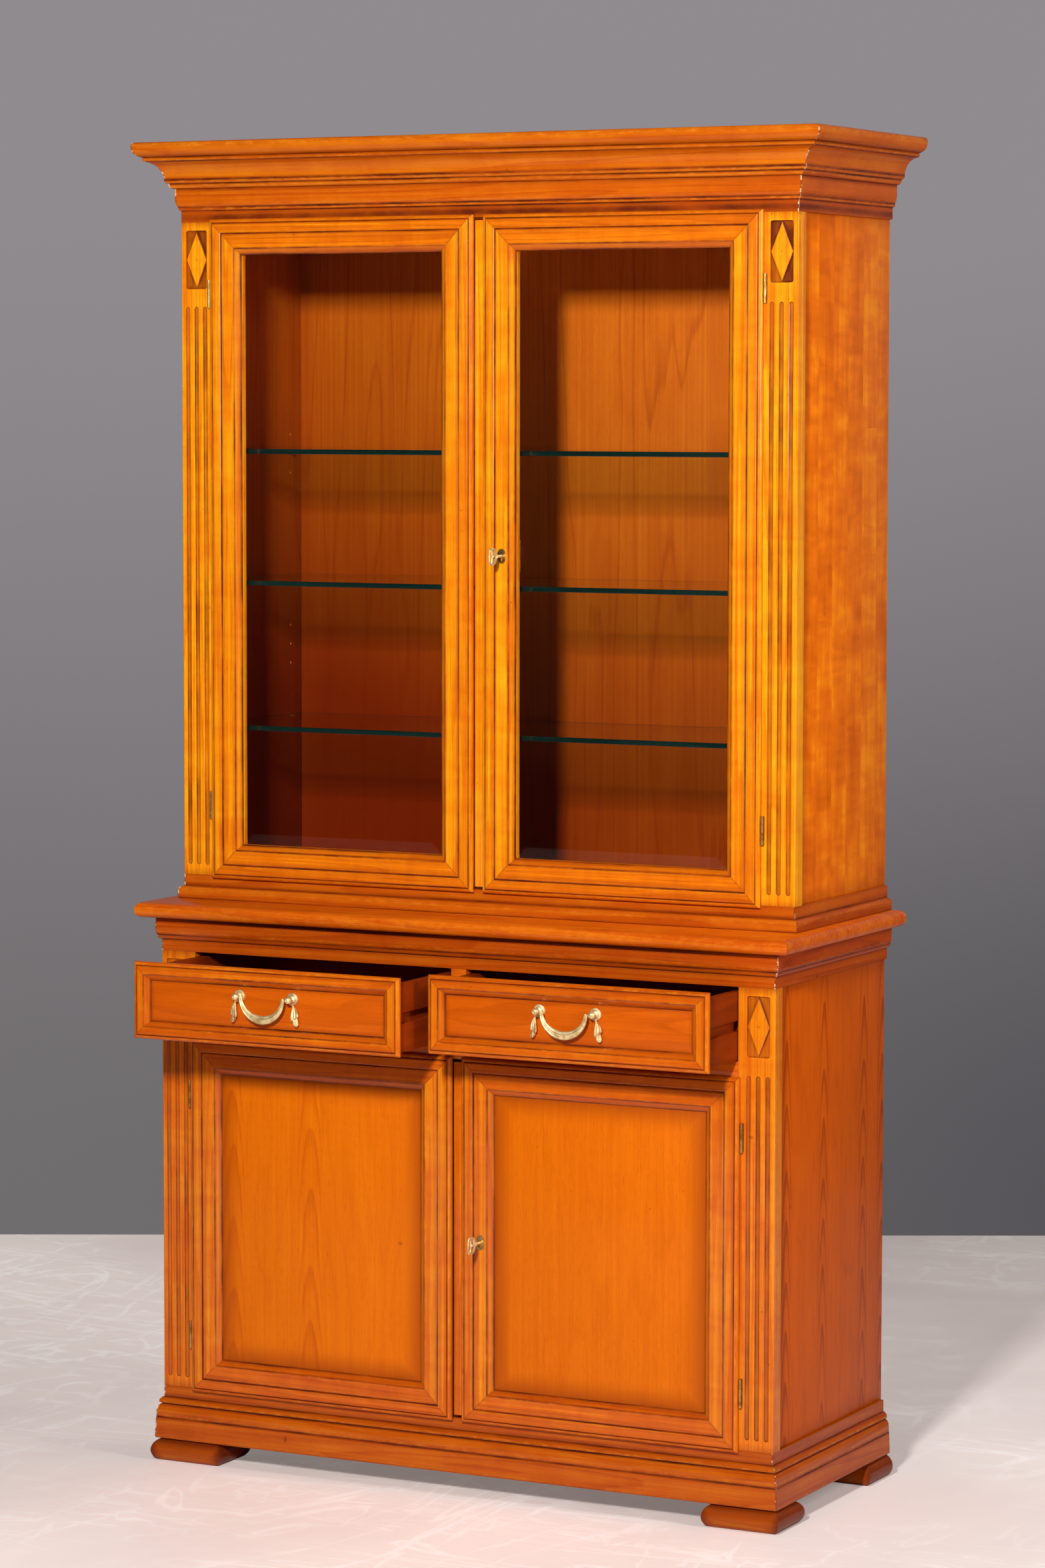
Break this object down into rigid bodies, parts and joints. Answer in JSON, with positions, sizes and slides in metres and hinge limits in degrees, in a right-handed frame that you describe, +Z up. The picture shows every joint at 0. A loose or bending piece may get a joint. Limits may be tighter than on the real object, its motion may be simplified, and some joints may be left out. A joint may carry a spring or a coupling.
{
  "type": "china cabinet with glass doors",
  "caption": "Two-piece cherry china cabinet: glazed upper case with glass shelves over a base with drawers and panelled doors, fluted posts, cornice and block feet.",
  "frame": {"origin": "on the floor under the middle of the box round the cabinet as it stands, with the left drawer 171 mm and the right drawer 111 mm open", "axes": "+Z up, the doors and drawers face -Y, +X to the right seen from the front"},
  "size_m": [1.2126, 0.6316, 2.15],
  "materials": {
    "cherry": "satin lacquer with dark glaze in the grooves",
    "cherry_veneer": "satin lacquer",
    "cherry_interior": "satin lacquer",
    "glass": "clear polished",
    "brass": "pale polished"
  },
  "bodies": {
    "case": {"feet": "cherry", "plinth": "cherry", "lower_bottom_band": "cherry", "lower_left_post": "cherry", "lower_right_post": "cherry", "lower_left_side": "cherry_veneer", "lower_right_side": "cherry_veneer", "lower_back": "cherry_interior", "lower_floor": "cherry_interior", "lower_shelf": "cherry_interior", "middle_rail": "cherry", "drawer_divider": "cherry", "drawer_runners": "cherry_interior", "lower_top_band": "cherry", "cove_moulding": "cherry", "table_top": "cherry", "upper_seat_moulding": "cherry", "upper_bottom_band": "cherry", "upper_floor": "cherry_interior", "upper_left_post": "cherry", "upper_right_post": "cherry", "upper_left_side": "cherry", "upper_right_side": "cherry", "upper_back": "cherry_interior", "upper_ceiling": "cherry_interior", "frieze": "cherry", "cornice": "cherry", "glass_shelves": "glass", "shelf_pins": "brass", "case_hinge_leaves": "brass"},
    "upper_left_door": {"upper_left_door_frame": "cherry", "upper_left_door_glass": "glass", "upper_left_door_hinge_leaves": "brass"},
    "upper_right_door": {"upper_right_door_frame": "cherry", "upper_right_door_glass": "glass", "upper_right_door_hinge_leaves": "brass", "upper_meeting_strip": "cherry", "upper_lock": "brass"},
    "upper_lock_bolt": {"upper_lock_bolt": "brass"},
    "upper_key": {"upper_key": "brass"},
    "lower_left_door": {"lower_left_door_frame": "cherry", "lower_left_door_panel": "cherry_veneer", "lower_left_door_hinge_leaves": "brass"},
    "lower_right_door": {"lower_right_door_frame": "cherry", "lower_right_door_panel": "cherry_veneer", "lower_right_door_hinge_leaves": "brass", "lower_meeting_strip": "cherry", "lower_lock": "brass"},
    "lower_lock_bolt": {"lower_lock_bolt": "brass"},
    "lower_key": {"lower_key": "brass"},
    "left_drawer": {"left_drawer_front": "cherry", "left_drawer_panel": "cherry_veneer", "left_drawer_box": "cherry_interior", "left_drawer_pull": "brass"},
    "left_drawer_bail": {"left_drawer_bail": "brass"},
    "right_drawer": {"right_drawer_front": "cherry", "right_drawer_panel": "cherry_veneer", "right_drawer_box": "cherry_interior", "right_drawer_pull": "brass"},
    "right_drawer_bail": {"right_drawer_bail": "brass"}
  },
  "joints": [
    {"name": "upper_left_door_hinge", "type": "hinge", "parent": "case", "child": "upper_left_door", "pos_m": [-0.493, -0.05535, 1.4915], "axis": [0, 0, -1], "range_deg": [0, 110]},
    {"name": "upper_right_door_hinge", "type": "hinge", "parent": "case", "child": "upper_right_door", "pos_m": [0.493, -0.05535, 1.4915], "axis": [0, 0, 1], "range_deg": [0, 110]},
    {"name": "upper_key_turn", "type": "hinge", "parent": "upper_right_door", "child": "upper_key", "pos_m": [0.045, -0.09315, 1.4915], "axis": [0, 1, 0], "range_deg": [0, 180]},
    {"name": "upper_bolt_slide", "type": "slide", "parent": "upper_right_door", "child": "upper_lock_bolt", "axis": [-1, 0, 0], "range_m": [0, 0.0139]},
    {"name": "lower_left_door_hinge", "type": "hinge", "parent": "case", "child": "lower_left_door", "pos_m": [-0.493, -0.12635, 0.411], "axis": [0, 0, -1], "range_deg": [0, 110]},
    {"name": "lower_right_door_hinge", "type": "hinge", "parent": "case", "child": "lower_right_door", "pos_m": [0.493, -0.12635, 0.411], "axis": [0, 0, 1], "range_deg": [0, 110]},
    {"name": "lower_key_turn", "type": "hinge", "parent": "lower_right_door", "child": "lower_key", "pos_m": [0.045, -0.16415, 0.411], "axis": [0, 1, 0], "range_deg": [0, 180]},
    {"name": "lower_bolt_slide", "type": "slide", "parent": "lower_right_door", "child": "lower_lock_bolt", "axis": [-1, 0, 0], "range_m": [0, 0.0139]},
    {"name": "left_drawer_slide", "type": "slide", "parent": "case", "child": "left_drawer", "axis": [0, -1, 0], "range_m": [-0.171, 0.129]},
    {"name": "left_drawer_bail_swing", "type": "hinge", "parent": "left_drawer", "child": "left_drawer_bail", "pos_m": [-0.2495, -0.31005, 0.8015], "axis": [-1, 0, 0], "range_deg": [-12, 80]},
    {"name": "right_drawer_slide", "type": "slide", "parent": "case", "child": "right_drawer", "axis": [0, -1, 0], "range_m": [-0.111, 0.189]},
    {"name": "right_drawer_bail_swing", "type": "hinge", "parent": "right_drawer", "child": "right_drawer_bail", "pos_m": [0.2495, -0.25005, 0.8015], "axis": [-1, 0, 0], "range_deg": [-12, 80]}
  ],
  "couplings": [
    {"joint": "upper_key_turn", "follows": "upper_bolt_slide", "rad_per_m": 226},
    {"joint": "lower_key_turn", "follows": "lower_bolt_slide", "rad_per_m": 226}
  ]
}
